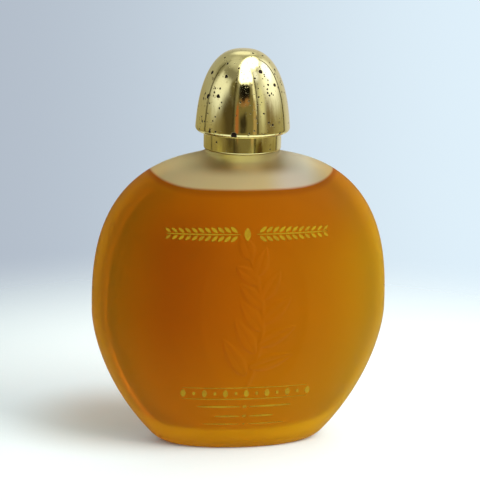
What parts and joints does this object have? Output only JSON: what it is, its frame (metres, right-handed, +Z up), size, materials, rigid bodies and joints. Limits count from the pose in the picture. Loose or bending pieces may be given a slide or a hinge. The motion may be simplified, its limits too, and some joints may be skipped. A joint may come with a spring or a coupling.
{
  "type": "aftershave bottle",
  "caption": "Oval frosted glass splash flask of amber aftershave with a domed gold metal screw cap, a gold neck collar and a pressed-in pour plug.",
  "frame": {"origin": "centre of the flask's flat foot", "axes": "+Z up through the neck and the cap, +X along the flask's width, front face towards -Y"},
  "size_m": [0.084, 0.035, 0.1132],
  "materials": {
    "frosted_glass": "fine frosted",
    "lotion": "clear amber liquid",
    "gold_metal": "polished pale gold, pitted with age",
    "plug_plastic": "soft natural polyethylene",
    "insert_plastic": "moulded ivory polypropylene",
    "liner_foam": "closed-cell foam"
  },
  "bodies": {
    "bottle": {"glass_flask": "frosted_glass", "lotion": "lotion", "pour_plug": "plug_plastic", "collar_skin": "gold_metal", "collar_sleeve": "insert_plastic"},
    "liner": {"cap_liner": "liner_foam"},
    "cap": {"cap_shell": "gold_metal", "cap_insert": "insert_plastic"}
  },
  "joints": [
    {"name": "cap_lift", "type": "slide", "parent": "bottle", "child": "liner", "axis": [0, 0, 1], "range_m": [0, 0.0191]},
    {"name": "cap_turn", "type": "hinge", "parent": "liner", "child": "cap", "pos_m": [0, 0, 0.0921], "axis": [0, 0, 1], "range_deg": [0, 2160]}
  ],
  "couplings": [
    {"joint": "cap_lift", "follows": "cap_turn", "m_per_rad": 0.00050532}
  ]
}
